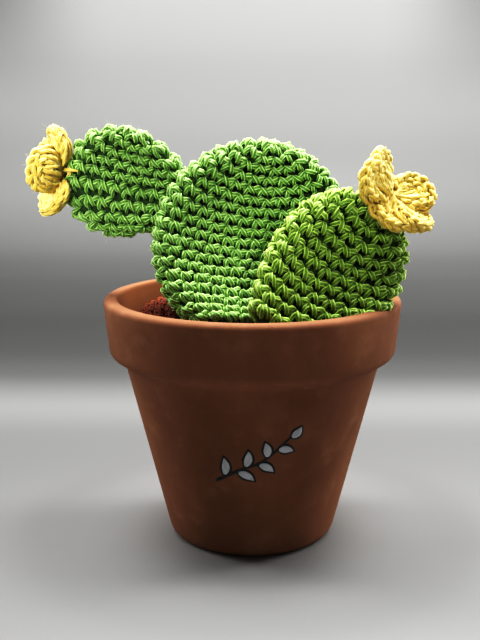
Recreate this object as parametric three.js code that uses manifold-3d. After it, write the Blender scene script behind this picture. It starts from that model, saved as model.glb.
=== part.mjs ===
// Crocheted prickly pear cactus in a terracotta pot. Millimetres, +Z up.
// Three stuffed pads and two blooms are sewn together on a stuffed soil cushion wedged in the pot.
// Every round of stitches is raised from the surface of the piece that it belongs to.
import * as THREE from "three";
import { mergeVertices } from "three/addons/utils/BufferGeometryUtils.js";
import Module from "manifold-3d";

const wasm = await Module();
wasm.setup();

const DEG = Math.PI / 180;
const TURN = 2 * Math.PI;

// Pot, thrown in terracotta: radii and heights on the lathe
const POT_HEIGHT = 108;
const RIM_RADIUS = 65;
const RIM_LOWER_RADIUS = 63.1;
const RIM_BAND = 23;
const NECK_RADIUS = 56;
const NECK_DROP = 29;
const FOOT_RADIUS = 37.6;
const FOOT_ROUND = 5.5;
const RIM_ROUND = 1.6;
const WALL = 6.1;
const FLOOR_THICKNESS = 6;
const DRAIN_RADIUS = 8;
const POT_SIDES = 56;

// Clearance between the cushion and the pot, and the room that a sewn piece leaves round its neighbour
const GAP = 0.35;
const ROOM = 0.7;

// Stitches: how far a crown stands out of the cloth, how deep the valley between two rounds is,
// and how far each round is shifted against the last, in stitches
const STITCH_RISE = 0.9;
const STITCH_SINK = 0.5;
const STITCH_SLANT = -0.27;

// Soil cushion: a domed plug of brown yarn, held by the taper of the pot
const SOIL_TOP = 103.2;
const SOIL_EDGE_RADIUS = 49;
const SOIL_EDGE_HEIGHT = 97.5;
const SOIL_TILT = [-0.03, 0.08];
const SOIL_WALL_TOP = 89;
const SOIL_WALL_BOTTOM = 68;
const SOIL_BOTTOM = 52;
const SOIL_ROUND = 8;
const SOIL_EDGE_ANGLE = 78;
const SOIL_STITCH = [6.6, 5.6];

// A pad is an egg-shaped double cloth, bent along its height and dished towards its front.
// foot: the point on its middle line where the bend starts; rise: the length of the bent line;
// yaw: how far the pad is turned about the upright, its right side going back;
// backLean and topLean: the slope of that line at the foot and at the top, from the vertical;
// middle: the egg's centre, across and up the bent cloth; turn: the lean of its axis to the right;
// half: half its width and half its length; egg: how much wider it is towards the tip;
// end: the angle round the egg, from the tip, at which the cloth ends; stitch: width and height
const LARGE_PAD = {
  foot: [0, -21, 98], rise: 86, yaw: 12, backLean: 48, topLean: -14,
  middle: [5, 36.6], turn: 8, half: [43.9, 48.6], egg: 0, end: 150,
  thickness: 12.5, dish: 5, stitch: [6.15, 5.2],
};
const RIGHT_PAD = {
  foot: [10, -43, 96], rise: 68, yaw: 14, backLean: 34, topLean: -12,
  middle: [17.4, 18], turn: 36, half: [25.6, 49], egg: 0.42, end: 117,
  thickness: 12.5, dish: 4, stitch: [6.7, 6],
};
const LEFT_PAD = {
  foot: [-56.5, 4, 131.5], rise: 56, yaw: 0, backLean: 8, topLean: -10,
  middle: [2.6, 25.3], turn: -79, half: [22.6, 27.1], egg: 0.2, end: 152,
  thickness: 11, dish: 3, stitch: [5.9, 4.9],
};

// Blooms: five spoon-shaped petals round a small button.
// place: where it is sewn, as an angle round the egg from the tip; axis: the way the bloom faces;
// zero: the direction that the petals are counted from; seat: how far its back is sunk towards the pad.
// Each petal has its angle, its length and width, its slope towards the axis and the depth of its bowl.
const PETAL_THICKNESS = 3.4;
const PETAL_RINGS = 4;
const PETAL_SIDES = 16;
const PETAL_RIDGE = 0.45;
const PETAL_REACH = 1.5;
const PETAL_WIDENING = 0.16;
const HEART_SIDES = 12;
const BLOOM_BACK = 3.4;
const LEFT_BLOOM = {
  place: -2, axis: [-0.96, -0.2, 0.1], zero: [0, 0, 1], seat: 4,
  petals: [
    { at: -8, length: 20, width: 17, slope: 12, bowl: 4 },
    { at: -84, length: 19, width: 19, slope: 46, bowl: 4 },
    { at: -158, length: 18, width: 17, slope: 14, bowl: 4 },
    { at: 132, length: 18, width: 17, slope: 22, bowl: 4 },
    { at: 62, length: 18, width: 17, slope: 28, bowl: 4 },
  ],
};
const RIGHT_BLOOM = {
  place: 4, axis: [0.63, -0.36, 0.68], zero: [0.73, 0, -0.68], seat: 3.5,
  petals: [
    { at: -4, length: 19, width: 17, slope: 20, bowl: 4 },
    { at: -68, length: 20, width: 20, slope: 30, bowl: 5 },
    { at: -140, length: 22, width: 17, slope: 12, bowl: 4 },
    { at: 162, length: 22, width: 17, slope: 34, bowl: 4 },
    { at: 70, length: 20, width: 19, slope: 28, bowl: 5 },
  ],
};

const COLOURS = {
  terracotta: { color: 0xb5673f, roughness: 0.85 },
  soilYarn: { color: 0x8a4526, roughness: 0.95 },
  greenYarn: { color: 0x6cb84a, roughness: 0.9 },
  limeYarn: { color: 0x86c43a, roughness: 0.9 },
  yellowYarn: { color: 0xf6dc6b, roughness: 0.9 },
};

// A closed solid of triangles, ready to be cut
function solidOf(points, triangles) {
  const vertProperties = new Float32Array(points.length * 3);
  points.forEach((point, i) => vertProperties.set([point.x, point.y, point.z], i * 3));
  const triVerts = new Uint32Array(triangles.flat());
  return new wasm.Manifold(new wasm.Mesh({ numProp: 3, vertProperties, triVerts }));
}

// A closed three.js geometry as a solid
function weldedSolid(geometry) {
  const bare = geometry.clone();
  bare.deleteAttribute("normal");
  bare.deleteAttribute("uv");
  const welded = mergeVertices(bare, 1e-4);
  const place = welded.getAttribute("position");
  const points = [];
  for (let i = 0; i < place.count; i++) points.push(new THREE.Vector3().fromBufferAttribute(place, i));
  const corners = Array.from(welded.index.array);
  const triangles = [];
  for (let i = 0; i < corners.length; i += 3) {
    const [a, b, c] = corners.slice(i, i + 3);
    if (a !== b && b !== c && a !== c) triangles.push([a, b, c]);
  }
  return solidOf(points, triangles);
}

// The solid's largest body, without any scrap that a cut left loose
function mainBody(solid) {
  const bodies = solid.decompose();
  return bodies.reduce((best, body) => (body.volume() > best.volume() ? body : best));
}

function namedMesh(name, solid, look) {
  const { vertProperties, triVerts } = solid.getMesh();
  const geometry = new THREE.BufferGeometry();
  geometry.setAttribute("position", new THREE.BufferAttribute(new Float32Array(vertProperties), 3));
  geometry.setIndex(new THREE.BufferAttribute(new Uint32Array(triVerts), 1));
  const mesh = new THREE.Mesh(geometry, new THREE.MeshStandardMaterial({ metalness: 0, ...look }));
  mesh.name = name;
  return mesh;
}

// Rings of different counts are zipped into one skin, from a point at the start to one at the end.
// Each ring is a list of { at, place }, where at runs from 0 to 1 round the ring.
function skinOf(start, rings, finish) {
  const points = [start];
  const triangles = [];
  const offsets = rings.map((ring) => {
    const offset = points.length;
    ring.forEach((stop) => points.push(stop.place));
    return offset;
  });
  points.push(finish);
  const last = points.length - 1;
  const first = rings[0].length;
  for (let i = 0; i < first; i++) triangles.push([0, offsets[0] + i, offsets[0] + ((i + 1) % first)]);
  for (let r = 0; r + 1 < rings.length; r++) {
    zip(rings[r], offsets[r], rings[r + 1], offsets[r + 1], triangles);
  }
  const end = rings.length - 1;
  const count = rings[end].length;
  for (let i = 0; i < count; i++) {
    triangles.push([last, offsets[end] + ((i + 1) % count), offsets[end] + i]);
  }
  return solidOf(points, triangles);
}

// Two rings are joined by always stepping on along the one that lags behind
function zip(upper, upperOffset, lower, lowerOffset, triangles) {
  const nextAt = (ring, step) => ring[step % ring.length].at + Math.floor(step / ring.length);
  let a = 0;
  let b = 0;
  while (a < upper.length || b < lower.length) {
    const here = [upperOffset + (a % upper.length), lowerOffset + (b % lower.length)];
    if (b >= lower.length || (a < upper.length && nextAt(upper, a + 1) <= nextAt(lower, b + 1))) {
      triangles.push([here[0], here[1], upperOffset + ((a + 1) % upper.length)]);
      a += 1;
    } else {
      triangles.push([here[0], here[1], lowerOffset + ((b + 1) % lower.length)]);
      b += 1;
    }
  }
}

// Rounds of stitches: each has a ring of crowns and hollows, and a valley ring parts it from the next.
// edge(row) gives the ring at a row, as a function from 0..1 to a point and its outward normal.
function stitchRings(rows, edge, counts, grow) {
  const rings = [];
  for (let row = 0; row < rows; row++) {
    const crown = edge((row + 0.5) / rows);
    const count = counts[row];
    const shift = (row * STITCH_SLANT) / count;
    const crownRing = [];
    for (let i = 0; i < 2 * count; i++) {
      const at = wrapped(i / (2 * count) + shift);
      const lift = i % 2 === 0 ? STITCH_RISE : -0.1 * STITCH_SINK;
      crownRing.push(raised(crown, at, lift + grow));
    }
    rings.push(crownRing.sort((p, q) => p.at - q.at));
    if (row + 1 === rows) continue;
    const valley = edge((row + 1) / rows);
    const steps = Math.max(count, counts[row + 1]);
    const valleyRing = [];
    for (let i = 0; i < steps; i++) {
      valleyRing.push(raised(valley, wrapped((i + 0.5) / steps + shift), grow - STITCH_SINK));
    }
    rings.push(valleyRing.sort((p, q) => p.at - q.at));
  }
  return rings;
}

function wrapped(at) {
  return at - Math.floor(at);
}

function raised(ring, at, lift) {
  const { point, normal } = ring(at);
  return { at, place: point.clone().addScaledVector(normal, lift) };
}

// A pad's skin: from flat places on its cloth, across and along, to bent places in space
function padShape(pad) {
  const [footX, footY, footZ] = pad.foot;
  const back = pad.backLean * DEG;
  const bend = (pad.topLean - pad.backLean) * DEG / pad.rise;
  const turn = pad.turn * DEG;
  const yaw = pad.yaw * DEG;
  const [halfWidth, halfLength] = pad.half;
  const halfThickness = pad.thickness / 2;

  // The middle of the cloth at a flat place, with the cloth's own directions there
  function cloth(across, along) {
    const side = pad.middle[0] + across * Math.cos(turn) + along * Math.sin(turn);
    const up = pad.middle[1] - across * Math.sin(turn) + along * Math.cos(turn);
    const lean = back + bend * up;
    const roundness = reach(across, along) ** 2;
    const upright = new THREE.Vector3(0, 0, 1);
    const upward = new THREE.Vector3(0, Math.sin(lean), Math.cos(lean)).applyAxisAngle(upright, yaw);
    const sideways = new THREE.Vector3(1, 0, 0).applyAxisAngle(upright, yaw);
    const forward = new THREE.Vector3().crossVectors(sideways, upward);
    const point = new THREE.Vector3(
      side, (Math.cos(back) - Math.cos(lean)) / bend, (Math.sin(lean) - Math.sin(back)) / bend,
    ).applyAxisAngle(upright, yaw);
    point.add(new THREE.Vector3(footX, footY, footZ)).addScaledVector(forward, pad.dish * roundness);
    return { point, sideways, upward, forward };
  }

  // 1 on the egg's outline, 0 at its centre
  function reach(across, along) {
    return Math.hypot(across / (halfWidth * (1 + pad.egg * along / halfLength)), along / halfLength);
  }

  // face is 1 on the front, -1 on the back; the rim is rounded to half the thickness
  function skin(across, along, face) {
    const here = cloth(across, along);
    const inset = Math.max(0, 1 - reach(across, along)) * halfWidth;
    const rimward = Math.max(0, 1 - inset / halfThickness);
    const height = Math.sqrt(1 - rimward ** 2);
    const widening = 1 + pad.egg * along / halfLength;
    const slant = pad.egg * (across / (halfWidth * widening)) ** 2 / (halfLength * widening);
    const flat = new THREE.Vector2(across / (halfWidth * widening) ** 2, along / halfLength ** 2 - slant);
    if (flat.lengthSq() > 0) flat.normalize();
    flat.rotateAround(new THREE.Vector2(), -turn);
    const normal = new THREE.Vector3()
      .addScaledVector(here.sideways, flat.x * rimward)
      .addScaledVector(here.upward, flat.y * rimward)
      .addScaledVector(here.forward, face * height)
      .normalize();
    const point = here.point.addScaledVector(here.forward, face * height * halfThickness);
    return { point, normal };
  }

  // One round of cloth, from the tip (0) to the sewn end (1), stepped evenly along its length.
  // It hangs down in the middle of each face, as rounds worked from the tip do.
  function round(down) {
    const angle = down * pad.end * DEG;
    const along = halfLength * Math.cos(angle);
    const half = halfWidth * Math.sin(angle) * (1 + pad.egg * Math.cos(angle));
    const middle = halfLength * (1 - (1 - Math.cos(pad.end * DEG)) * down);
    const sag = Math.max(0, along - middle);
    const place = (theta) => skin(
      half * Math.cos(theta), along - sag * Math.abs(Math.sin(theta)), Math.sin(theta) < 0 ? 1 : -1,
    );
    return evenly(place);
  }
  return { round, skin, tip: skin(0, halfLength, 1), end: cloth(0, halfLength * Math.cos(pad.end * DEG)) };
}

// A closed ring given by its angle is stepped by its length instead
function evenly(place) {
  const samples = 240;
  const lengths = [0];
  let before = place(0).point;
  for (let i = 1; i <= samples; i++) {
    const point = place((i / samples) * TURN).point;
    lengths.push(lengths[i - 1] + point.distanceTo(before));
    before = point;
  }
  const total = lengths[samples];
  const ring = (at) => {
    const wanted = at * total;
    const i = Math.min(samples, Math.max(1, lengths.findIndex((length) => length >= wanted)));
    const part = (wanted - lengths[i - 1]) / (lengths[i] - lengths[i - 1]);
    return place(((i - 1 + part) / samples) * TURN);
  };
  ring.total = total;
  return ring;
}

// The pad's solid, with its sewn end run on into what it will be cut by
function padSolid(pad, grow = 0) {
  const shape = padShape(pad);
  const length = pad.half[1] * (1 - Math.cos(pad.end * DEG));
  const rows = Math.round(length / pad.stitch[1]);
  const counts = [];
  for (let row = 0; row < rows; row++) {
    counts.push(Math.max(6, Math.round(shape.round((row + 0.5) / rows).total / pad.stitch[0])));
  }
  const rings = stitchRings(rows, shape.round, counts, grow);
  const start = shape.tip.point.clone().addScaledVector(shape.tip.normal, grow);
  return skinOf(start, rings, shape.end.point);
}

// A level ring of evenly spaced points round the upright axis
function levelRing(radius, height, sides) {
  return Array.from({ length: sides }, (_, i) => {
    const angle = (i / sides) * TURN;
    const place = new THREE.Vector3(radius * Math.cos(angle), radius * Math.sin(angle), height);
    return { at: i / sides, place };
  });
}

// The soil cushion's profile, from its top down to its wall, as radius and height
function soilProfile(down) {
  const edge = SOIL_EDGE_ANGLE * DEG;
  const radius = SOIL_EDGE_RADIUS * Math.sin(down * edge) / Math.sin(edge);
  const drop = (SOIL_TOP - SOIL_EDGE_HEIGHT) * (radius / SOIL_EDGE_RADIUS) ** 2.4;
  return new THREE.Vector2(radius, SOIL_TOP - drop);
}

// The inside of the pot tapers as its outside does
function innerRadius(height) {
  const top = RIM_RADIUS - WALL;
  const slope = (NECK_RADIUS - FOOT_RADIUS) / (POT_HEIGHT - NECK_DROP - FOOT_ROUND);
  return top - (POT_HEIGHT - height) * slope;
}

// The soil cushion: stitched rounds on top, then a plain stuffed plug that narrows with the pot
function soilSolid(grow = 0) {
  const rows = Math.round(SOIL_EDGE_RADIUS / SOIL_STITCH[1]);
  const edge = (down) => {
    const here = soilProfile(down);
    const next = soilProfile(down + 0.01);
    const fall = Math.atan2(here.y - next.y, next.x - here.x);
    return (at) => {
      const angle = at * TURN;
      const x = here.x * Math.cos(angle);
      const y = here.x * Math.sin(angle);
      return {
        point: new THREE.Vector3(x, y, here.y + SOIL_TILT[0] * x + SOIL_TILT[1] * y),
        normal: new THREE.Vector3(
          Math.sin(fall) * Math.cos(angle), Math.sin(fall) * Math.sin(angle), Math.cos(fall),
        ),
      };
    };
  };
  const counts = [];
  for (let row = 0; row < rows; row++) {
    counts.push(Math.max(6, Math.round(soilProfile((row + 0.5) / rows).x * TURN / SOIL_STITCH[0])));
  }
  const rings = stitchRings(rows, edge, counts, grow);
  const wallRing = (radius, height) => levelRing(radius, height, POT_SIDES);
  const shoulder = (SOIL_EDGE_RADIUS + innerRadius(SOIL_WALL_TOP)) / 2 + 1;
  rings.push(wallRing(shoulder + grow, SOIL_EDGE_HEIGHT - 4 + grow));
  rings.push(wallRing(innerRadius(SOIL_WALL_TOP) - GAP + grow, SOIL_WALL_TOP));
  rings.push(wallRing(innerRadius(SOIL_WALL_BOTTOM) - GAP, SOIL_WALL_BOTTOM));
  rings.push(wallRing(innerRadius(SOIL_WALL_BOTTOM) - SOIL_ROUND, SOIL_BOTTOM + SOIL_ROUND / 2));
  rings.push(wallRing(innerRadius(SOIL_WALL_BOTTOM) - 2 * SOIL_ROUND, SOIL_BOTTOM));
  const top = new THREE.Vector3(0, 0, SOIL_TOP + grow);
  return skinOf(top, rings, new THREE.Vector3(0, 0, SOIL_BOTTOM));
}

// The pot is one lathe-turned wall with a drain hole, so its profile closes on itself.
// With room, its lip and its inside stand further in by that much.
function potGeometry(room = 0) {
  const neck = POT_HEIGHT - NECK_DROP;
  const lip = POT_HEIGHT + room;
  const innerFloor = innerRadius(FLOOR_THICKNESS) - room;
  const outline = new THREE.Path();
  outline.moveTo(DRAIN_RADIUS, 0);
  outline.lineTo(FOOT_RADIUS - FOOT_ROUND, 0);
  outline.quadraticCurveTo(FOOT_RADIUS - 0.25 * FOOT_ROUND, 0, FOOT_RADIUS, FOOT_ROUND);
  outline.lineTo(NECK_RADIUS, neck);
  outline.quadraticCurveTo(NECK_RADIUS + 0.4, neck + 1.2, NECK_RADIUS + 1.6, neck + 1.8);
  outline.lineTo(RIM_LOWER_RADIUS - 3.5, POT_HEIGHT - RIM_BAND - 2.6);
  outline.quadraticCurveTo(
    RIM_LOWER_RADIUS - 0.3, POT_HEIGHT - RIM_BAND - 2, RIM_LOWER_RADIUS, POT_HEIGHT - RIM_BAND + 1.5,
  );
  outline.lineTo(RIM_RADIUS, lip - 1.6 * RIM_ROUND);
  outline.quadraticCurveTo(RIM_RADIUS, lip, RIM_RADIUS - 1.6 * RIM_ROUND, lip);
  outline.lineTo(RIM_RADIUS - WALL + RIM_ROUND - room, lip);
  outline.quadraticCurveTo(
    RIM_RADIUS - WALL - room, lip, innerRadius(POT_HEIGHT - RIM_ROUND) - room, lip - RIM_ROUND,
  );
  outline.lineTo(innerFloor + 2, FLOOR_THICKNESS + 5);
  outline.quadraticCurveTo(innerFloor, FLOOR_THICKNESS, innerFloor - 4, FLOOR_THICKNESS);
  outline.lineTo(DRAIN_RADIUS, FLOOR_THICKNESS);
  outline.lineTo(DRAIN_RADIUS, 0);
  const lathe = new THREE.LatheGeometry(outline.getPoints(3), POT_SIDES);
  lathe.rotateX(Math.PI / 2);
  return lathe;
}

// A petal: an oval of cloth bowled like a spoon, with a ridge for every second ring of yarn.
// It lies on the bloom's plane, pointing along +X with the bloom facing +Z, sloped up from its foot.
function petalSolid(petal) {
  const slope = petal.slope * DEG;
  const middle = (x, y) => {
    const out = (petal.length / 2) * (1 + x);
    const rise = petal.bowl * (x * x + y * y) - petal.bowl;
    return new THREE.Vector3(
      PETAL_REACH + out * Math.cos(slope) - rise * Math.sin(slope),
      (petal.width / 2) * y * (1 + PETAL_WIDENING * x),
      out * Math.sin(slope) + rise * Math.cos(slope) + petal.bowl,
    );
  };
  const normalAt = (x, y) => {
    const step = 0.02;
    const lengthwise = middle(x + step, y).sub(middle(x - step, y));
    const crosswise = middle(x, y + step).sub(middle(x, y - step));
    return lengthwise.cross(crosswise).normalize();
  };
  const ringOf = (face, ring) => levelRing(ring / PETAL_RINGS, 0, PETAL_SIDES).map((stop) => {
    const { x, y } = stop.place;
    const ridge = ring % 2 === 1 ? PETAL_RIDGE : -PETAL_RIDGE;
    const depth = ring === PETAL_RINGS ? PETAL_THICKNESS / 4 : PETAL_THICKNESS / 2 + ridge;
    return { at: stop.at, place: middle(x, y).addScaledVector(normalAt(x, y), face * depth) };
  });
  const front = Array.from({ length: PETAL_RINGS }, (_, i) => ringOf(1, i + 1));
  const back = Array.from({ length: PETAL_RINGS }, (_, i) => ringOf(-1, PETAL_RINGS - i));
  const centre = (face) => ringOf(face, 0)[0].place;
  return skinOf(centre(1), [...front, ...back], centre(-1));
}

// The button at the heart of a bloom, which its petals grow from: radius and height, from its top down
function heartSolid() {
  const profile = [[1.3, 1.4], [2.8, 2.6], [4.4, 1.9], [5.2, 0.2], [5, -1.6], [3.6, -3.2]];
  const rings = profile.map(([radius, height]) => levelRing(radius, height, HEART_SIDES));
  return skinOf(new THREE.Vector3(0, 0, 1.1), rings, new THREE.Vector3(0, 0, -BLOOM_BACK));
}

// A bloom on the tip of its pad, turned to face along its axis
function bloomSolid(bloom, pad) {
  const petals = bloom.petals.map((petal) => petalSolid(petal).rotate([0, 0, petal.at]));
  const flower = petals.reduce((sum, petal) => sum.add(petal), heartSolid());
  const axis = new THREE.Vector3(...bloom.axis).normalize();
  const side = new THREE.Vector3().crossVectors(axis, new THREE.Vector3(...bloom.zero)).normalize();
  const zero = new THREE.Vector3().crossVectors(side, axis);
  const angle = bloom.place * DEG;
  const tip = padShape(pad).skin(pad.half[0] * Math.sin(angle), pad.half[1] * Math.cos(angle), 1).point;
  const centre = tip.addScaledVector(axis, BLOOM_BACK + STITCH_RISE - bloom.seat);
  const placed = new THREE.Matrix4().makeBasis(zero, side, axis).setPosition(centre);
  return flower.transform(placed.elements);
}

const potRoom = weldedSolid(potGeometry(ROOM));
const soilRoom = soilSolid(ROOM);
const largePadRoom = padSolid(LARGE_PAD, ROOM);
const rightPadRoom = padSolid(RIGHT_PAD, ROOM);
const leftPadRoom = padSolid(LEFT_PAD, ROOM);

const largePad = mainBody(padSolid(LARGE_PAD).subtract(soilRoom));
const rightPad = mainBody(padSolid(RIGHT_PAD).subtract(soilRoom).subtract(potRoom));
const leftPad = mainBody(padSolid(LEFT_PAD).subtract(largePadRoom));
const leftBloom = mainBody(bloomSolid(LEFT_BLOOM, LEFT_PAD).subtract(leftPadRoom));
const rightBloom = mainBody(bloomSolid(RIGHT_BLOOM, RIGHT_PAD).subtract(rightPadRoom));

const cactus = new THREE.Group();
cactus.add(namedMesh("pot", weldedSolid(potGeometry()), COLOURS.terracotta));
cactus.add(namedMesh("soil_cushion", soilSolid(), COLOURS.soilYarn));
cactus.add(namedMesh("large_pad", largePad, COLOURS.greenYarn));
cactus.add(namedMesh("left_pad", leftPad, COLOURS.greenYarn));
cactus.add(namedMesh("right_pad", rightPad, COLOURS.limeYarn));
cactus.add(namedMesh("left_flower", leftBloom, COLOURS.yellowYarn));
cactus.add(namedMesh("right_flower", rightBloom, COLOURS.yellowYarn));

// The origin is on the floor, in the middle of the space that the whole thing takes up
const box = new THREE.Box3().setFromObject(cactus);
const middle = box.getCenter(new THREE.Vector3());
cactus.position.set(-middle.x, -middle.y, -box.min.z);

export default cactus;
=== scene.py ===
import math

import bpy
import numpy as np
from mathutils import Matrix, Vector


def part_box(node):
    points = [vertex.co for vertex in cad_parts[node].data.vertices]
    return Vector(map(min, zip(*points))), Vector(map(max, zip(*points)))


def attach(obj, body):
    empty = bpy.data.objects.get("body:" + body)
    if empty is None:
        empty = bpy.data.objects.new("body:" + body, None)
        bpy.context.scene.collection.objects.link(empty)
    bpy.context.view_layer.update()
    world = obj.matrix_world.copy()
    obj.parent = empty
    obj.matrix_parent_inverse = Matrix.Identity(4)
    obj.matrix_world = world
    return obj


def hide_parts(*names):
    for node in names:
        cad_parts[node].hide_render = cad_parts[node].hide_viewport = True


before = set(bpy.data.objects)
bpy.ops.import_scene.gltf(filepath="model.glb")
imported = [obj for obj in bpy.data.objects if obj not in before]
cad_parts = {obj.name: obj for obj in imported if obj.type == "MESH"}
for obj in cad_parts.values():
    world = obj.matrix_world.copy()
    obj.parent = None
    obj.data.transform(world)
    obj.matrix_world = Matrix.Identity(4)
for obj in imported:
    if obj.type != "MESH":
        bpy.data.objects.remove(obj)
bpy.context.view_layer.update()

MM = 0.001
TURN = 2 * math.pi

# The pot's axis, from the frame: all millimetre places below are measured from where it meets the floor
pot_low, pot_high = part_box("pot")
POT_AXIS_X = (pot_low.x + pot_high.x) / 2

# Pot, thrown in terracotta
POT_HEIGHT = 108
RIM_RADIUS = 65
RIM_LOWER_RADIUS = 63.1
RIM_BAND = 23
NECK_RADIUS = 56
NECK_DROP = 29
FOOT_RADIUS = 37.6
FOOT_ROUND = 5.5
RIM_ROUND = 1.6
WALL = 6.1
FLOOR_THICKNESS = 6
DRAIN_RADIUS = 8
POT_SIDES = 192
POT_STEP = 6.0
ARC_STEPS = 7
TAPER = (NECK_RADIUS - FOOT_RADIUS) / (POT_HEIGHT - NECK_DROP - FOOT_ROUND)
# How the thrown wall wavers round the pot: mm, waves in one turn, and where they start
WAVER = [(0.12, 2, 0.6), (0.07, 5, 2.0)]
CLAY_DEEP = (0.20, 0.088, 0.045)
CLAY_WARM = (0.25, 0.115, 0.060)
CLAY_PALE = (0.34, 0.18, 0.105)
# Darker, redder clay for the inside of the pot, as painted shade
CLAY_INSIDE_SHADE = (0.15, 0.052, 0.014)

# Painted sprig, as millimetres round the wall and up it: the stem, then each leaf's place on it and lean
PAINT_BITE = 0.4
PAINT_FILM = 0.16
BLADE_FILM = 0.3
STEM = [(-15.5, 38), (-6, 43.5), (4, 48), (15, 58)]
STEM_PLACES = 25
LEAVES = [(3, 62), (7, -58), (10, 60), (14, -56), (17, 58), (20, -52), (24, 4)]
LEAF_HALF_WIDTH = 2.5
LEAF_OUTLINE = 0.72
LEAF_TIP = 0.05

# Soil cushion
SOIL_TOP = 103.2
SOIL_EDGE_RADIUS = 49
SOIL_EDGE_HEIGHT = 97.5
SOIL_EDGE_ANGLE = math.radians(78)
SOIL_TILT = (-0.03, 0.08)
SOIL_WALL_TOP = 89
SOIL_WALL_BOTTOM = 68
SOIL_BOTTOM = 52
SOIL_ROUND = 8
SOIL_GAP = 0.35
SOIL_STITCH = (6.6, 5.6)
SOIL_FALL = 2.4
SOIL_SIDES = 64

# Pads, as egg-shaped double cloths that are bent along their height and dished towards their front.
# foot: where the bend starts; rise: the bent line's length; yaw: the turn about the upright;
# back_lean and top_lean: its slope at the foot and at the top; middle: the egg's centre on the cloth;
# turn: the lean of the egg; half: half its width and length; egg: how much wider it is at the tip;
# end: the angle round the egg at which the cloth ends; stitch: the width and height of one stitch;
# sideways: the egg lies on its side, while its rounds are still worked from its upper edge down
PADS = {
    "large_pad": dict(
        foot=(0, -21, 98), rise=86, yaw=12, back_lean=48, top_lean=-14, middle=(5, 36.6),
        turn=8, half=(43.9, 48.6), egg=0, end=150, thickness=12.5, dish=5, stitch=(6.1, 5.05),
    ),
    "right_pad": dict(
        foot=(10, -43, 96), rise=68, yaw=14, back_lean=34, top_lean=-12, middle=(17.4, 18),
        turn=36, half=(25.6, 49), egg=0.42, end=117, thickness=12.5, dish=4, stitch=(6.8, 5.8),
    ),
    "left_pad": dict(
        foot=(-56.5, 4, 131.5), rise=56, yaw=0, back_lean=8, top_lean=-10, middle=(2.6, 25.3),
        turn=-79, half=(22.6, 27.1), egg=0.2, end=180, thickness=11, dish=3, stitch=(5.8, 4.75),
        sideways=True,
    ),
}
PAD_CORE_SIDES = 56
PAD_HAIRS = 500
SINK = 1.0
SEAM_DEPTH = 0.6

# Blooms. place: the angle of its seat round the pad's tip; axis: the way it faces; zero: where its angles
# start; seat: how deep it sits. Each petal has its angle, its length and width, its slope, the depth of
# its bowl, its roll, and how far from the middle of the bloom it starts.
# sewing: places of the yarn that holds it, across and along the pad, above it in mm, and thickness
PETAL_WIDENING = 0.16
PETAL_HALF_THICKNESS = 1.9
PETAL_INSET = 1.5
PETAL_CORE_LIFT = -0.5
PETAL_CORE_SIDES = 28
BLOOM_BACK = 3.4
BLOOM_YARN_RADIUS = 1.08
BLOOM_HAIRS = 420
STITCH_RISE = 0.9
BLOOMS = {
    "left_flower": dict(
        place=-2, axis=(-0.96, -0.2, 0.1), zero=(0, 0, 1), seat=4,
        petals=[
            (-8, 19, 17, 12, 4, 14, 1.5), (-84, 19, 19, 46, 4, 0, 1.5), (-158, 18, 17, 14, 4, -28, 1.5),
            (132, 18, 17, 22, 4, 0, 1.5), (62, 18, 17, 28, 4, 0, 1.5),
        ],
        sewing=[(1.0, 1.0, 1.2, 0.8), (1.2, 0.95, 2.4, 0.95), (1.6, 0.86, 2.6, 0.75), (1.8, 0.78, 1.6, 0.4)],
    ),
    "right_flower": dict(
        place=4, axis=(0.63, -0.36, 0.68), zero=(0.73, 0, -0.68), seat=3.5,
        petals=[
            (-2, 19, 17, 15, 4, 0, 1.5), (-52, 19, 20.5, -7, 5, 20, -3.0), (-151, 20, 17, 18, 4, -38, 1.5),
            (162, 20.5, 17, 34, 4, 0, 1.5), (58, 20, 19, 34, 5, 0, 1.5),
        ],
        sewing=[
            (-1.0, 0.96, -0.5, 0.9), (-2.2, 0.93, 1.8, 1.2), (-3.6, 0.9, 2.2, 1.3), (-4.6, 0.885, 0.2, 0.9),
        ],
    ),
}

# Yarn: worsted weight, of five plies that show as ridges
YARN_RADIUS = 1.2
YARN_STITCH = 6
YARN_UNEVENNESS = 0.04
SECTION_POINTS = 10
GROOVE_DEPTH = 0.4
TWIST_PITCH = 16
STITCH_SLANT = -0.27
CORE_DEPTH = 2.1
FIBRE_RADIUS = 0.045
FIBRE_LENGTHS = (1.6, 3.8)
FIBRE_STEPS = 4
FIBRE_SIDES = 3
FIBRE_STRAY = 1.1
FIBRE_CURL = 0.35
FIBRE_TAPER = 0.7

# One stitch as its yarn runs: across and up in shares of its cell, height over the cloth in mm, thickness
STITCH_RUN = [
    (0.26, 0.02, -1.8, 0.80), (0.17, 0.24, -0.4, 1.00), (0.13, 0.44, 0.50, 1.15), (0.17, 0.63, 0.15, 1.08),
    (0.26, 0.78, -1.0, 0.85), (0.30, 0.78, -0.1, 0.95), (0.44, 0.66, 0.85, 1.20), (0.63, 0.49, 0.80, 1.24),
    (0.82, 0.35, -0.4, 0.98), (0.79, 0.43, -1.6, 0.80), (0.68, 0.54, -0.7, 0.92), (0.78, 0.69, 0.50, 1.18),
    (0.92, 0.81, 0.60, 1.18), (1.05, 0.88, -0.4, 0.95), (1.11, 0.92, -1.6, 0.80),
]
STITCH_STEPS = 16
# How uneven the stitches are: along their round, up and down, in their lean, height and thickness
STITCH_ASIDE, STITCH_UP, STITCH_LEAN, STITCH_LIFT, STITCH_THICKNESS = 0.035, 0.045, 0.08, 0.12, 0.05


def in_frame(points):
    """Millimetre places round the pot's axis, as metres in the frame."""
    moved = np.asarray(points, float) * MM
    moved[..., 0] += POT_AXIS_X
    return moved


def unit(vectors):
    length = np.linalg.norm(vectors, axis=-1, keepdims=True)
    return vectors / np.maximum(length, 1e-9)


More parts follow.
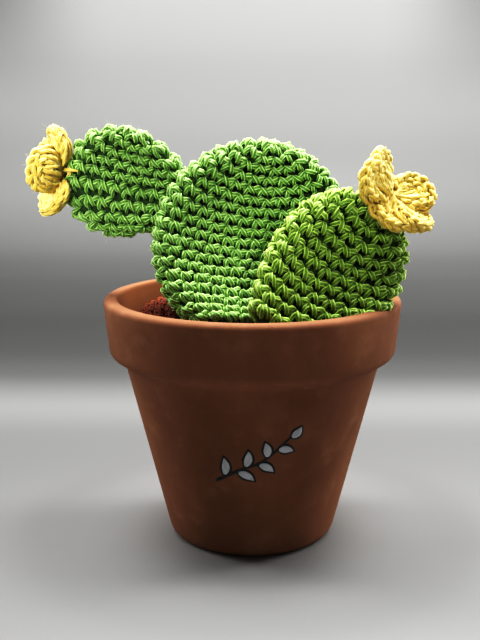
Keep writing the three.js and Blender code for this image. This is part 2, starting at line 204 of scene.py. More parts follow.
def turned(x, y, angle):
    """Two lengths at right angles, as read along axes that are turned by an angle."""
    return x * math.cos(angle) + y * math.sin(angle), y * math.cos(angle) - x * math.sin(angle)


def round_axis(radius, angle, height):
    """Places by their distance from an upright axis, their angle round it and their height."""
    return np.stack(np.broadcast_arrays(radius * np.cos(angle), radius * np.sin(angle), height), -1)


def smooth_line(points, steps):
    """A smooth line through the points, in that many places, evenly by the line's own parameter."""
    points = np.asarray(points, float)
    padded = np.vstack([2 * points[0] - points[1], points, 2 * points[-1] - points[-2]])
    at = np.linspace(0, len(points) - 1, steps)
    start = np.minimum(at.astype(int), len(points) - 2)
    t = (at - start)[:, None]
    before, here, after, beyond = (padded[start + k] for k in range(4))
    return 0.5 * (
        2 * here + (after - before) * t
        + (2 * before - 5 * here + 4 * after - beyond) * t ** 2
        + (3 * here - before - 3 * after + beyond) * t ** 3
    )


class PadCloth:
    """The bent, dished double cloth of one pad, with places given round it and down it, from 0 to 1."""

    def __init__(self, pad):
        self.pad = pad
        self.half_width, self.half_length = pad["half"]
        self.half_thickness = pad["thickness"] / 2
        self.end = math.radians(pad["end"])
        self.length = self.measure()
        self.downs = np.linspace(0, 1, 121)
        self.shares = np.linspace(0, 1, 241)
        self.step_by_length()
        self.rows = round(self.length / pad["stitch"][1])
        self.counts = [
            max(6, round(np.interp((row + 0.5) / self.rows, self.downs, self.girths) / pad["stitch"][0]))
            for row in range(self.rows)
        ]

    def measure(self):
        return self.half_length * (1 - math.cos(self.end))

    def skin(self, across, along, face):
        """Points and outward normals at flat places on the egg; face is 1 in front and -1 behind."""
        pad = self.pad
        back, yaw, turn = (math.radians(pad[key]) for key in ("back_lean", "yaw", "turn"))
        bend = math.radians(pad["top_lean"] - pad["back_lean"]) / pad["rise"]
        widening = 1 + pad["egg"] * along / self.half_length
        share = across / (self.half_width * widening)
        reach = np.hypot(share, along / self.half_length)
        side, up = turned(across, along, turn)
        side = pad["middle"][0] + side
        lean = back + bend * (pad["middle"][1] + up)
        sideways = np.array([math.cos(yaw), math.sin(yaw), 0.0])
        upward = np.stack([
            -math.sin(yaw) * np.sin(lean), math.cos(yaw) * np.sin(lean), np.cos(lean)], -1)
        forward = np.cross(np.broadcast_to(sideways, upward.shape), upward)
        depth = (math.cos(back) - np.cos(lean)) / bend
        height = (np.sin(lean) - math.sin(back)) / bend
        point = np.stack([*turned(side, depth, -yaw), height], -1) + np.array(pad["foot"], float)
        inset = np.maximum(0, 1 - reach) * self.half_width
        rimward = np.maximum(0, 1 - inset / self.half_thickness)
        swell = np.sqrt(1 - rimward ** 2)
        slope = pad["egg"] * share ** 2 / (self.half_length * widening)
        flat = unit(np.stack([
            share / (self.half_width * widening), along / self.half_length ** 2 - slope], -1))
        flat_side, flat_up = turned(flat[..., 0], flat[..., 1], turn)
        normal = unit(
            sideways * (flat_side * rimward)[..., None] + upward * (flat_up * rimward)[..., None]
            + forward * (face * swell)[..., None]
        )
        offset = pad["dish"] * reach ** 2 + face * swell * self.half_thickness
        return point + forward * offset[..., None], normal

    def front(self, across, along):
        """One point and normal on the front, across in mm and along as a share of the egg."""
        points, normals = self.skin(np.array([across]), np.array([along * self.half_length]), np.ones(1))
        return points[0], normals[0]

    def at_angle(self, down, theta):
        """A place on the round of cloth at a share of the way down, by its angle round the egg."""
        angle = down * self.end
        along = self.half_length * np.cos(angle)
        half = self.half_width * np.sin(angle) * (1 + self.pad["egg"] * np.cos(angle))
        middle = self.half_length * (1 - (1 - math.cos(self.end)) * down)
        sag = np.maximum(0, along - middle)
        face = np.where(np.sin(theta) < 0, 1.0, -1.0)
        return self.skin(half * np.cos(theta), along - sag * np.abs(np.sin(theta)), face)

    def step_by_length(self):
        """Tables of the angle at even steps of length round each round of cloth, and of its girth."""
        theta = np.broadcast_to(self.shares * TURN, (len(self.downs), len(self.shares)))
        points, _ = self.at_angle(self.downs[:, None], theta)
        steps = np.linalg.norm(np.diff(points, axis=1), axis=-1)
        lengths = np.concatenate([np.zeros((len(self.downs), 1)), np.cumsum(steps, axis=1)], axis=1)
        self.girths = lengths[:, -1]
        self.angles = np.array([
            np.interp(self.shares * max(line[-1], 1e-9), line, self.shares * TURN) for line in lengths
        ])

    def place(self, around, down):
        """Points and normals at shares round and down the cloth."""
        down = np.clip(down, 0.0, 1.0)
        row = down * (len(self.downs) - 1)
        column = (around - np.floor(around)) * (len(self.shares) - 1)
        r = np.minimum(row.astype(int), len(self.downs) - 2)
        c = np.minimum(column.astype(int), len(self.shares) - 2)
        fr, fc = row - r, column - c
        upper = self.angles[r, c] * (1 - fc) + self.angles[r, c + 1] * fc
        lower = self.angles[r + 1, c] * (1 - fc) + self.angles[r + 1, c + 1] * fc
        return self.at_angle(down, upper * (1 - fr) + lower * fr)


class SidewaysPadCloth(PadCloth):
    """A pad whose egg lies on its side, while its rounds are still worked from its upper edge down."""

    def measure(self):
        return 2 * self.half_width

    def at_angle(self, down, theta):
        angle = down * math.pi
        along = -self.half_length * np.sin(angle) * np.cos(theta)
        rise = np.cos(angle)
        sag = np.maximum(0, rise - (1 - 2 * down))
        across = self.half_width * (rise - sag * np.abs(np.sin(theta))) * (
            1 + self.pad["egg"] * along / self.half_length)
        return self.skin(across, along, np.where(np.sin(theta) < 0, 1.0, -1.0))


class SoilCloth:
    """The stitched top of the soil cushion, worked in flat rounds from its middle."""

    def __init__(self):
        self.rows = round(SOIL_EDGE_RADIUS / SOIL_STITCH[1])
        self.counts = [
            max(6, round(self.radius((row + 0.5) / self.rows) * TURN / SOIL_STITCH[0]))
            for row in range(self.rows)
        ]

    @staticmethod
    def radius(down):
        return SOIL_EDGE_RADIUS * np.sin(down * SOIL_EDGE_ANGLE) / math.sin(SOIL_EDGE_ANGLE)

    @staticmethod
    def height(x, y):
        drop = (SOIL_TOP - SOIL_EDGE_HEIGHT) * (np.hypot(x, y) / SOIL_EDGE_RADIUS) ** SOIL_FALL
        return SOIL_TOP - drop + SOIL_TILT[0] * x + SOIL_TILT[1] * y

    def place(self, around, down):
        radius = self.radius(np.clip(down, 0.0, 1.0))
        angle = around * TURN
        x, y = radius * np.cos(angle), radius * np.sin(angle)
        point = np.stack([x, y, self.height(x, y)], -1)
        steepest = SOIL_FALL * (SOIL_TOP - SOIL_EDGE_HEIGHT) / SOIL_EDGE_RADIUS
        fall = steepest * (radius / SOIL_EDGE_RADIUS) ** (SOIL_FALL - 1)
        normal = unit(round_axis(fall, angle, 1.0))
        return point, normal


class Strands:
    """Centre lines of yarn, with the thickness, twist, tint and length that the yarn is made from."""

    def __init__(self, seed):
        self.random = np.random.default_rng(seed)
        self.points, self.edges = [], []
        self.thickness, self.twist, self.tint, self.run = [], [], [], []
        self.count = 0

    def add(self, lines, thickness):
        """lines is strands by places by three, in mm; thickness is a share of the yarn's radius."""
        strands, places = lines.shape[:2]
        lengths = np.linalg.norm(np.diff(lines, axis=1), axis=-1)
        run = np.concatenate([np.zeros((strands, 1)), np.cumsum(lengths, axis=1)], axis=1)
        start = self.random.uniform(0, TURN, (strands, 1))
        index = self.count + np.arange(strands * places).reshape(strands, places)
        self.points.append(lines.reshape(-1, 3))
        self.edges.append(np.stack([index[:, :-1].ravel(), index[:, 1:].ravel()], -1))
        self.thickness.append(np.broadcast_to(thickness, (strands, places)).ravel())
        self.twist.append((start + run * TURN / TWIST_PITCH).ravel())
        self.tint.append(np.repeat(self.random.uniform(0, 1, strands), places))
        self.run.append((run + start * 10).ravel())
        self.count += strands * places

    def guide_mesh(self, name):
        mesh = bpy.data.meshes.new(name)
        points = in_frame(np.concatenate(self.points))
        edges = np.concatenate(self.edges)
        mesh.vertices.add(len(points))
        mesh.vertices.foreach_set("co", points.ravel())
        mesh.edges.add(len(edges))
        mesh.edges.foreach_set("vertices", edges.ravel())
        for key in ("thickness", "twist", "tint", "run"):
            values = np.concatenate(getattr(self, key)).astype(np.float32)
            mesh.attributes.new(key, "FLOAT", "POINT").data.foreach_set("value", values)
        return mesh


def crochet(cloth, strands, keep=None):
    """Stitches in rounds all over a cloth, each with its own small unevenness."""
    run = smooth_line(STITCH_RUN, STITCH_STEPS)
    random = strands.random
    for row, count in enumerate(cloth.counts):
        first = (np.arange(count) + row * STITCH_SLANT) / count
        if keep is not None:
            middle, _ = cloth.place(first + 0.5 / count, np.full(count, (row + 0.5) / cloth.rows))
            first = first[keep(middle)]
        if len(first) == 0:
            continue
        stitches = (len(first), 1)
        across = run[:, 0] + random.normal(0, STITCH_ASIDE, stitches)
        up = run[:, 1] + random.normal(0, STITCH_UP, stitches)
        up += (run[:, 0] - 0.5) * random.normal(0, STITCH_LEAN, stitches)
        lift = run[:, 2] + random.normal(0, STITCH_LIFT, stitches)
        points, normals = cloth.place(first[:, None] + across / count, (row + 1 - up) / cloth.rows)
        thickness = run[:, 3] * random.normal(1, STITCH_THICKNESS, stitches)
        strands.add(points + normals * lift[..., None], thickness)


def by_identifier(sockets, identifier):
    return next(socket for socket in sockets if socket.identifier == identifier)


class Nodes:
    """Short ways to add and link nodes, with their inputs given by name or number."""

    def __init__(self, tree):
        self.tree = tree

    def feed(self, socket, value):
        if isinstance(value, bpy.types.NodeSocket):
            self.tree.links.new(value, socket)
        else:
            socket.default_value = value

    def add(self, kind, inputs=None, **settings):
        made = self.tree.nodes.new(kind)
        for key, value in settings.items():
            setattr(made, key, value)
        for key, value in (inputs or {}).items():
            self.feed(made.inputs[key], value)
        return made

    def maths(self, operation, *values):
        return self.add("ShaderNodeMath", dict(enumerate(values)), operation=operation).outputs[0]

    def vector(self, *parts):
        return self.add("ShaderNodeCombineXYZ", dict(enumerate(parts))).outputs[0]

    def split(self, vector):
        return self.add("ShaderNodeSeparateXYZ", {0: vector}).outputs

    def length(self, vector):
        return self.add("ShaderNodeVectorMath", {0: vector}, operation="LENGTH").outputs["Value"]

    def scaled(self, vector, share):
        inputs = {0: vector, "Scale": share}
        return self.add("ShaderNodeVectorMath", inputs, operation="SCALE").outputs[0]


class Surface(Nodes):
    """A new material with one shader, and what its colour and relief are mixed from."""

    def __init__(self, name):
        self.material = bpy.data.materials.new(name)
        self.material.use_nodes = True
        super().__init__(self.material.node_tree)
        self.tree.nodes.clear()
        self.shader = self.add("ShaderNodeBsdfPrincipled")
        self.add("ShaderNodeOutputMaterial", {"Surface": self.shader.outputs[0]})
        self.place = self.add("ShaderNodeTexCoord").outputs["Object"]

    def noise(self, vector, scale, detail=3.0, roughness=0.55):
        return self.add("ShaderNodeTexNoise", {
            "Vector": vector, "Scale": scale, "Detail": detail, "Roughness": roughness,
        }).outputs["Fac"]

    def mix(self, share, first, second):
        """Colours are given as three numbers or as a socket."""
        made = self.add("ShaderNodeMix", data_type="RGBA")
        self.feed(by_identifier(made.inputs, "Factor_Float"), share)
        for identifier, colour in (("A_Color", first), ("B_Color", second)):
            value = (*colour, 1) if isinstance(colour, tuple) else colour
            self.feed(by_identifier(made.inputs, identifier), value)
        return by_identifier(made.outputs, "Result_Color")

    def stretch(self, value, low, high, to_low=0.0, to_high=1.0):
        return self.add("ShaderNodeMapRange", {
            "Value": value, "From Min": low, "From Max": high, "To Min": to_low, "To Max": to_high,
        }, interpolation_type="SMOOTHSTEP").outputs[0]

    def bump(self, height, strength, distance, before=None):
        made = self.add("ShaderNodeBump", {"Strength": strength, "Distance": distance, "Height": height})
        if before is not None:
            self.feed(made.inputs["Normal"], before)
        return made.outputs[0]

    def made_of(self, sockets):
        for key, value in sockets.items():
            self.feed(self.shader.inputs[key], value)
        return self.material


def plied_yarn_tree():
    """Geometry Nodes: a plied section swept along every guide line."""
    tree = bpy.data.node_groups.new("plied yarn", "GeometryNodeTree")
    for name, kind in (
        ("Guides", "Geometry"), ("Yarn radius", "Float"), ("Section points", "Int"),
        ("Groove depth", "Float"), ("Unevenness", "Float"), ("Seed", "Int"), ("Yarn", "Material"),
    ):
        tree.interface.new_socket(name, in_out="INPUT", socket_type="NodeSocket" + kind)
    tree.interface.new_socket("Geometry", in_out="OUTPUT", socket_type="NodeSocketGeometry")
    nodes = Nodes(tree)

    def attribute(name):
        made = nodes.add("GeometryNodeInputNamedAttribute", {"Name": name}, data_type="FLOAT")
        return made.outputs["Attribute"]

    given = nodes.add("NodeGroupInput").outputs
    place = nodes.add("GeometryNodeInputPosition").outputs[0]
    circle = nodes.add("GeometryNodeCurvePrimitiveCircle", {
        "Resolution": given["Section points"], "Radius": 1.0})
    every_other = nodes.maths("MODULO", nodes.add("GeometryNodeInputIndex").outputs[0], 2.0)
    drawn_in = nodes.maths("SUBTRACT", 1.0, nodes.maths("MULTIPLY", every_other, given["Groove depth"]))
    plied = nodes.add("GeometryNodeSetPosition", {
        "Geometry": circle.outputs["Curve"], "Position": nodes.scaled(place, drawn_in)})
    section = nodes.add("GeometryNodeStoreNamedAttribute", {
        "Name": "section", "Geometry": plied.outputs[0], "Value": place,
    }, data_type="FLOAT_VECTOR", domain="POINT")

    curve = nodes.add("GeometryNodeMeshToCurve", {"Mesh": given["Guides"]})
    tilt = nodes.add("GeometryNodeSetCurveTilt", {"Curve": curve.outputs[0], "Tilt": attribute("twist")})
    jitter = nodes.add("FunctionNodeRandomValue", {"Seed": given["Seed"]}, data_type="FLOAT")
    for identifier, operation in (("Min_001", "SUBTRACT"), ("Max_001", "ADD")):
        limit = nodes.maths(operation, 1.0, given["Unevenness"])
        nodes.feed(by_identifier(jitter.inputs, identifier), limit)
    thick = nodes.maths("MULTIPLY", attribute("thickness"), given["Yarn radius"])
    thick = nodes.maths("MULTIPLY", thick, by_identifier(jitter.outputs, "Value_001"))
    sweep = nodes.add("GeometryNodeCurveToMesh", {
        "Curve": tilt.outputs[0], "Profile Curve": section.outputs[0], "Scale": thick, "Fill Caps": True})
    soft = nodes.add("GeometryNodeSetShadeSmooth", {"Geometry": sweep.outputs[0]})
    real = nodes.add("GeometryNodeRealizeInstances", {"Geometry": soft.outputs[0]})
    dyed = nodes.add("GeometryNodeSetMaterial", {"Geometry": real.outputs[0], "Material": given["Yarn"]})
    nodes.add("NodeGroupOutput", {0: dyed.outputs[0]})
    return tree


def linked(name, mesh):
    piece = bpy.data.objects.new(name, mesh)
    bpy.context.scene.collection.objects.link(piece)
    return piece


def spun(name, strands, tree, material, seed, radius=YARN_RADIUS):
    """The yarn along a set of strands, as a plain mesh."""
    guide = linked(name + "_guides", strands.guide_mesh(name + "_guides"))
    modifier = guide.modifiers.new("yarn", "NODES")
    modifier.node_group = tree
    sockets = {item.name: item.identifier for item in tree.interface.items_tree if item.in_out == "INPUT"}
    for key, value in {
        "Yarn radius": radius * MM, "Section points": SECTION_POINTS, "Groove depth": GROOVE_DEPTH,
        "Unevenness": YARN_UNEVENNESS, "Seed": seed, "Yarn": material,
    }.items():
        modifier[sockets[key]] = value
    evaluated = guide.evaluated_get(bpy.context.evaluated_depsgraph_get())
    mesh = bpy.data.meshes.new_from_object(evaluated)
    mesh.name = name
    bpy.data.objects.remove(guide)
    return linked(name, mesh)


def plain_mesh(name, points, faces, material):
    mesh = bpy.data.meshes.new(name)
    mesh.from_pydata([tuple(p) for p in points], [], faces)
    mesh.polygons.foreach_set("use_smooth", [True] * len(mesh.polygons))
    mesh.materials.append(material)
    mesh.update()
    return linked(name, mesh)


def ringed_mesh(name, start, rings, finish, material):
    """A closed skin from a start point over rings of equal counts to a finish point."""
    rings = np.asarray(rings)
    levels, sides = rings.shape[:2]
    points = in_frame(np.vstack([[start], rings.reshape(-1, 3), [finish]]))
    last = len(points) - 1
    faces = [(0, 1 + i, 1 + (i + 1) % sides) for i in range(sides)]
    for level in range(levels - 1):
        a, b = 1 + level * sides, 1 + (level + 1) * sides
        faces += [(a + i, b + i, b + (i + 1) % sides, a + (i + 1) % sides) for i in range(sides)]
    base = 1 + (levels - 1) * sides
    faces += [(last, base + (i + 1) % sides, base + i) for i in range(sides)]
    return plain_mesh(name, points, faces, material)


def loose_fibres(name, strands, seed, count, material):
    """Fine hairs that stand out from the yarn, each a thin closed thread."""
    random = np.random.default_rng(seed)
    places = np.concatenate(strands.points)
    rooted = places[random.integers(0, len(places), count)]
    away = unit(rooted - places.mean(0)) + unit(random.normal(size=(count, 3))) * FIBRE_STRAY
    away, curl = unit(away), unit(random.normal(size=(count, 3)))
    length = random.uniform(*FIBRE_LENGTHS, (count, 1))
    shares = np.linspace(0, 1, FIBRE_STEPS + 1)[:, None, None]
    lines = rooted + away * length * shares + curl * length * FIBRE_CURL * shares ** 2
    sideways = unit(np.cross(away, curl))
    upward = np.cross(away, sideways)
    radius = FIBRE_RADIUS * (1 - FIBRE_TAPER * shares)
    rings = []
    for angle in np.arange(FIBRE_SIDES) / FIBRE_SIDES * TURN:
        rings.append(lines + radius * (sideways * math.cos(angle) + upward * math.sin(angle)))
    points = np.stack(rings, axis=1).transpose(2, 0, 1, 3)
    sides = [(i, (i + 1) % FIBRE_SIDES) for i in range(FIBRE_SIDES)]
    faces = []
    for k in range(count):
        base = k * (FIBRE_STEPS + 1) * FIBRE_SIDES
        for a in range(base, base + FIBRE_STEPS * FIBRE_SIDES, FIBRE_SIDES):
            b = a + FIBRE_SIDES
            faces += [(a + i, a + j, b + j, b + i) for i, j in sides]
        end = base + FIBRE_STEPS * FIBRE_SIDES
        faces += [(base + 2, base + 1, base), (end, end + 1, end + 2)]
    return plain_mesh(name, in_frame(points.reshape(-1, 3)), faces, material)


def joined(name, pieces):
    """Several meshes as one piece."""
    with bpy.context.temp_override(
        active_object=pieces[0], object=pieces[0], selected_objects=pieces, selected_editable_objects=pieces,
    ):
        bpy.ops.object.join()
    pieces[0].name = name
    pieces[0].data.name = name
    return pieces[0]


def changed(colour, gain, more=0.0):
    return tuple(min(1.0, gain * part + more) for part in colour)


def yarn_material(name, light, middle, dark, lustre=1.0):
    """Plied yarn, with drawn-out fibres: a painted highlight on the crown of each ply and painted shade in
    its grooves.
    """
    nodes = Surface(name)
    section, tint, run = (
        nodes.add("ShaderNodeAttribute", attribute_name=key).outputs[kind]
        for key, kind in (("section", "Vector"), ("tint", "Fac"), ("run", "Fac")))
    across, up, _ = nodes.split(section)
    fibres = nodes.noise(nodes.vector(across, up, nodes.maths("MULTIPLY", run, 0.16)), 9.0, 4.0, 0.65)
    # crown runs from 0 in the grooves between plies to 1 on their crowns: the grooves take the dark colour
    # as painted shade
    crown = nodes.stretch(nodes.length(section), 1 - 0.75 * GROOVE_DEPTH, 1 - 0.1 * GROOVE_DEPTH)
    cloud = nodes.noise(nodes.place, 60.0, 2.0)
    # A painted highlight in the light colour on the ply crowns, streaked by the fibres
    pale = nodes.maths(
        "MULTIPLY", nodes.stretch(fibres, 0.35, 0.68, 0.25, 1.0), nodes.maths("POWER", crown, 2.0))
    colour = nodes.mix(nodes.maths("MULTIPLY", pale, 0.8), nodes.mix(crown, dark, middle), light)
    # Random darker tone by strand and by place, towards the dark colour
    tone_mottle = nodes.maths("ADD", nodes.maths("MULTIPLY", tint, 0.5), nodes.maths("MULTIPLY", cloud, 0.5))
    return nodes.made_of({
        "Base Color": nodes.mix(nodes.stretch(tone_mottle, 0.3, 0.85, 0.0, 0.25), colour, dark),
        "Roughness": nodes.stretch(fibres, 0.3, 0.7, 0.42, 0.62),
        "Sheen Weight": 0.12 * lustre, "Sheen Roughness": 0.4, "Specular IOR Level": 0.5 * lustre,
        "Normal": nodes.bump(fibres, 0.5, 0.25 * MM),
    })


def painted_shade_core_material(name, colour):
    """The inside of the cloth, seen through the holes between stitches, with its colour set far darker than
    the yarn as painted shade.
    """
    nodes = Surface(name)
    grain = nodes.noise(nodes.place, 900.0, 3.0)
    return nodes.made_of({
        "Base Color": nodes.mix(grain, changed(colour, 0.5), colour),
        "Roughness": nodes.stretch(grain, 0.3, 0.7, 0.85, 1.0),
        "Normal": nodes.bump(grain, 0.6, 0.4 * MM),
    })


def fibre_material(name, colour):
    """Loose hairs, mottled between the colour and a paler one."""
    nodes = Surface(name)
    mottled = nodes.mix(nodes.noise(nodes.place, 300.0), colour, changed(colour, 1.3))
    return nodes.made_of({"Base Color": mottled, "Roughness": 0.7})


def wool(colour, light, middle, dark, inside, hair):
    """One colour of yarn: its strands, the inside of its cloth in painted shade and its loose hairs."""
    return (
        yarn_material(colour + "_yarn", light, middle, dark), painted_shade_core_material(colour + "_inside", inside),
        fibre_material(colour + "_fibres", hair),
    )


def terracotta_material():
    """Unglazed clay: warm mottling, turning lines from the wheel, sandy grain, and painted shade on the
    inside of the pot.
    """
    nodes = Surface("terracotta")
    centred = nodes.add("ShaderNodeMapping", {
        "Vector": nodes.place, "Location": (-POT_AXIS_X, 0, 0)}).outputs[0]
    x, y, height = nodes.split(centred)
    clouds = nodes.noise(centred, 22.0, 4.0, 0.6)
    blots = nodes.noise(centred, 95.0, 3.0)
    grain = nodes.noise(centred, 1400.0, 2.0, 0.7)
    lines = nodes.add("ShaderNodeTexNoise", {
        "W": height, "Scale": 520.0, "Detail": 2.0}, noise_dimensions="1D")
    colour = nodes.mix(nodes.stretch(clouds, 0.35, 0.68), CLAY_DEEP, CLAY_WARM)
    for specks, low, high, share, clay in (
        (blots, 0.5, 0.8, 0.35, CLAY_PALE), (grain, 0.58, 0.75, 0.35, CLAY_PALE),
        (grain, 0.42, 0.25, 0.4, CLAY_DEEP),
    ):
        colour = nodes.mix(nodes.stretch(specks, low, high, 0.0, share), colour, clay)
    below_lip = nodes.maths("MINIMUM", height, (POT_HEIGHT - 2) * MM)
    from_axis = nodes.length(nodes.vector(x, y))
    past_inside = nodes.maths("SUBTRACT", from_axis, nodes.maths("MULTIPLY", below_lip, TAPER))
    inside = inner_radius(0) * MM
    # Painted shade over the inside wall and floor, and the middle of the underside, mixed in at 0.8
    painted_inside_shade = nodes.stretch(past_inside, inside + 0.4 * MM, inside + 1.6 * MM, 0.8, 0.0)
    turned = nodes.bump(lines.outputs["Fac"], 0.35, 0.12 * MM)
    wavy = nodes.bump(clouds, 0.25, 0.8 * MM, turned)
    return nodes.made_of({
        "Base Color": nodes.mix(painted_inside_shade, colour, CLAY_INSIDE_SHADE),
        "Roughness": nodes.stretch(grain, 0.3, 0.7, 0.78, 0.95),
        "Specular IOR Level": 0.25, "Normal": nodes.bump(grain, 0.45, 0.12 * MM, wavy),
    })


def paint_material(name, colour):
    """Brushed-on matt paint over the clay's grain."""
    nodes = Surface(name)
    grain = nodes.noise(nodes.place, 1400.0, 2.0, 0.7)
    brushed = nodes.stretch(nodes.noise(nodes.place, 260.0, 3.0), 0.35, 0.7)
    return nodes.made_of({
        "Base Color": nodes.mix(brushed, colour, changed(colour, 1.25, 0.004)),
        "Roughness": nodes.stretch(grain, 0.3, 0.7, 0.55, 0.75), "Normal": nodes.bump(grain, 0.4, 0.1 * MM),
    })


def rounded(start, corner=None, finish=None):
    """A corner as a quadratic curve from start to finish, or sharp where only a start is given."""
    if corner is None:
        return np.array([start], float)
    t = np.linspace(0, 1, ARC_STEPS + 1)[:, None]
    start, corner, finish = (np.array(p, float) for p in (start, corner, finish))
    return (1 - t) ** 2 * start + 2 * t * (1 - t) * corner + t ** 2 * finish


def inner_radius(height):
    return RIM_RADIUS - WALL - (POT_HEIGHT - height) * TAPER


def pot_profile():
    """The wall's outline as radius and height, once round from the drain hole's lower edge."""
    neck, band = POT_HEIGHT - NECK_DROP, POT_HEIGHT - RIM_BAND
    edge, bevel = 1.6 * RIM_ROUND, 0.6
    inside, lip = RIM_RADIUS - WALL, POT_HEIGHT - RIM_ROUND
    floor_edge, floor = inner_radius(FLOOR_THICKNESS), FLOOR_THICKNESS
    corners = [
        [(DRAIN_RADIUS, bevel)],
        [(DRAIN_RADIUS + bevel, 0)],
        [(FOOT_RADIUS - FOOT_ROUND, 0), (FOOT_RADIUS - 0.25 * FOOT_ROUND, 0), (FOOT_RADIUS, FOOT_ROUND)],
        [(NECK_RADIUS, neck), (NECK_RADIUS + 0.4, neck + 1.2), (NECK_RADIUS + 1.6, neck + 1.8)],
        [(RIM_LOWER_RADIUS - 3.5, band - 2.6), (RIM_LOWER_RADIUS - 0.3, band - 2),
         (RIM_LOWER_RADIUS, band + 1.5)],
        [(RIM_RADIUS, POT_HEIGHT - edge), (RIM_RADIUS, POT_HEIGHT), (RIM_RADIUS - edge, POT_HEIGHT)],
        [(inside + RIM_ROUND, POT_HEIGHT), (inside, POT_HEIGHT), (inner_radius(lip), lip)],
        [(floor_edge + 2, floor + 5), (floor_edge, floor), (floor_edge - 4, floor)],
        [(DRAIN_RADIUS + bevel, floor)],
        [(DRAIN_RADIUS, floor - bevel)],
    ]
    return np.vstack([rounded(*corner) for corner in corners])


def make_pot(material):
    """The pot, turned on the wheel, with a hand-thrown waver of a fraction of a millimetre."""
    profile = refined(pot_profile(), POT_STEP)
    angles = np.arange(POT_SIDES) / POT_SIDES * TURN
    radius = profile[:, None, 0] + sum(size * np.sin(waves * angles + start) for size, waves, start in WAVER)
    points = round_axis(radius, angles, profile[:, None, 1])
    faces = []
    for a in range(0, len(profile) * POT_SIDES, POT_SIDES):
        b = (a + POT_SIDES) % (len(profile) * POT_SIDES)
        for i in range(POT_SIDES):
            j = (i + 1) % POT_SIDES
            faces.append((a + i, a + j, b + j, b + i))
    return plain_mesh("clay_pot", in_frame(points.reshape(-1, 3)), faces, material)


def on_wall(across, height, lift):
    """A place on the front of the pot's wall: mm round from its middle, height, and mm off the clay."""
    radius = FOOT_RADIUS + (height - FOOT_ROUND) * TAPER
    angle = across / radius - math.pi / 2
    return round_axis(radius + lift, angle, height)


def brush_stroke(name, spine, half_widths, lift, material):
    """A closed film of paint along a spine on the wall, as wide as asked at each of its places."""
    spine, half_widths = np.asarray(spine, float), np.asarray(half_widths, float)
    run = np.gradient(spine, axis=0)
    normal = unit(np.stack([-run[:, 1], run[:, 0]], -1))
    shares = np.linspace(-1, 1, 7)
    flat = spine[:, None] + normal[:, None] * (half_widths[:, None] * shares)[..., None]
    dome = lift * (1 - 0.6 * shares ** 4)
    top = on_wall(flat[..., 0], flat[..., 1], dome)
    below = on_wall(flat[..., 0], flat[..., 1], -PAINT_BITE)
    rings = np.concatenate([top, below[:, ::-1]], axis=1)
    return ringed_mesh(name, rings[0].mean(0), rings, rings[-1].mean(0), material)


def painted_sprig(outline, fill):
    """A leafy sprig across the front of the pot: dark stem and leaf edges with pale leaf blades."""
    stem = smooth_line(STEM, STEM_PLACES)
    pieces = [brush_stroke("sprig_stem", stem, np.linspace(0.75, 0.45, STEM_PLACES), PAINT_FILM, outline)]
    grown = np.linspace(0, 1, 17)
    half_width = LEAF_HALF_WIDTH * np.sin(math.pi * grown ** 0.85) ** 0.9
    inner = slice(2, -2)
    blade = np.maximum(LEAF_TIP, half_width[inner] - LEAF_OUTLINE)
    for k, (at, lean) in enumerate(LEAVES):
        run = stem[min(at + 1, STEM_PLACES - 1)] - stem[at - 1]
        heading = math.atan2(run[1], run[0]) + math.radians(lean)
        length = 10.5 - 0.12 * at
        bow = 0.9 * np.sin(math.pi * grown) * (1 if lean > 0 else -1)
        ahead = np.array([math.cos(heading), math.sin(heading)])
        aside = np.array([-ahead[1], ahead[0]])
        spine = stem[at] + ahead * (grown * length)[:, None] - aside * bow[:, None]
        pieces.append(brush_stroke(f"sprig_leaf_{k}", spine, LEAF_TIP + half_width, PAINT_FILM, outline))
        pieces.append(brush_stroke(f"sprig_blade_{k}", spine[inner], blade, BLADE_FILM, fill))
    return joined("painted_sprig", pieces)


def refined(line, longest):
    """The closed line with its long stretches split, so that no step is longer than asked."""
    places = []
    for here, after in zip(line, np.roll(line, -1, axis=0)):
        parts = max(1, math.ceil(np.linalg.norm(after - here) / longest))
        places += [here + (after - here) * k / parts for k in range(parts)]
    return np.array(places)


def soil_core(cloth, material):
    """The stuffed plug under the soil stitches, which narrows with the pot."""
    around = np.arange(SOIL_SIDES) / SOIL_SIDES
    angles = around * TURN
    rings = []
    for down in np.linspace(0.06, 1, 24):
        points, normals = cloth.place(around, np.full(SOIL_SIDES, down))
        rings.append(points - normals * CORE_DEPTH)
    wall_top = inner_radius(SOIL_WALL_TOP) - SOIL_GAP
    wall_bottom = inner_radius(SOIL_WALL_BOTTOM)
    shoulder = (SOIL_EDGE_RADIUS + inner_radius(SOIL_WALL_TOP)) / 2 + 1
    for radius, height in [
        (shoulder, SOIL_EDGE_HEIGHT - 4), (wall_top, SOIL_WALL_TOP),
        (wall_bottom - SOIL_GAP, SOIL_WALL_BOTTOM), (wall_bottom - SOIL_ROUND, SOIL_BOTTOM + SOIL_ROUND / 2),
        (wall_bottom - 2 * SOIL_ROUND, SOIL_BOTTOM),
    ]:
        rings.append(round_axis(radius, angles, height))
    return ringed_mesh("soil_core", (0, 0, SOIL_TOP - CORE_DEPTH), rings, (0, 0, SOIL_BOTTOM), material)


def pad_core(name, cloth, material, clear):
    """The stuffed inside of a pad, a little under its stitches."""
    around = np.arange(PAD_CORE_SIDES) / PAD_CORE_SIDES
    rings = []
    for down in np.linspace(0.01, 0.99, 2 * cloth.rows + 1):
        points, normals = cloth.place(around, np.full(PAD_CORE_SIDES, down))
        rings.append(clear(points - normals * CORE_DEPTH))
    tip, tip_normal = cloth.place(np.zeros(1), np.zeros(1))
    return ringed_mesh(name, tip[0] - tip_normal[0] * CORE_DEPTH, rings, rings[-1].mean(0), material)


